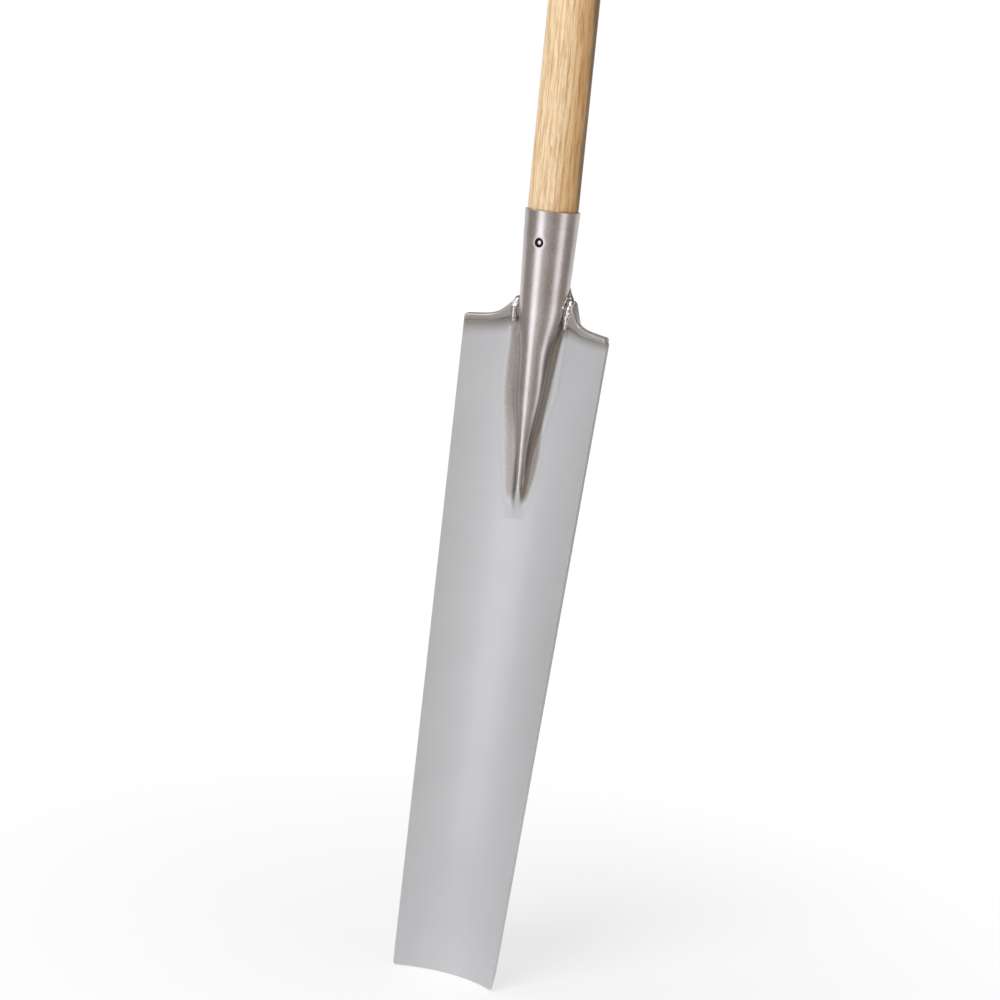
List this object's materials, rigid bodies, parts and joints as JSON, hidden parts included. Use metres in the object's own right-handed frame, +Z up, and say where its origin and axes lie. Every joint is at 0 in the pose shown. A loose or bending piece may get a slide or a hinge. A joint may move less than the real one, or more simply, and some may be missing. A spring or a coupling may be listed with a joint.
{
  "type": "trenching spade",
  "caption": "Long narrow digging spade with a dished tapering steel blade, treads, a tapered socket running down the face as a ridge, and a round wooden shaft with a T-grip.",
  "frame": {"origin": "middle of the tool's outline, at the level of the cutting edge", "axes": "+Z up along the shaft towards the grip, -Y out of the hollow front face of the blade, +X to the right seen from the front"},
  "size_m": [0.14, 0.0856, 1.2618],
  "materials": {
    "satin_steel": "fine satin blasted steel",
    "brushed_socket_steel": "brushed around the taper, semi-bright",
    "weld_steel": "ground weld, bright",
    "ash": "sanded ash, clear sealed",
    "nail_steel": "bright nail head",
    "dark_wood": "oiled hardwood"
  },
  "bodies": {
    "root": {"blade": "satin_steel", "socket": "brushed_socket_steel", "left_tread": "satin_steel", "right_tread": "satin_steel", "left_tread_weld": "weld_steel", "right_tread_weld": "weld_steel", "left_ridge_weld": "weld_steel", "right_ridge_weld": "weld_steel", "handle_shaft": "ash", "socket_nail": "nail_steel", "t_grip": "ash", "grip_wedge": "dark_wood", "grip_dowel": "dark_wood"}
  },
  "joints": []
}
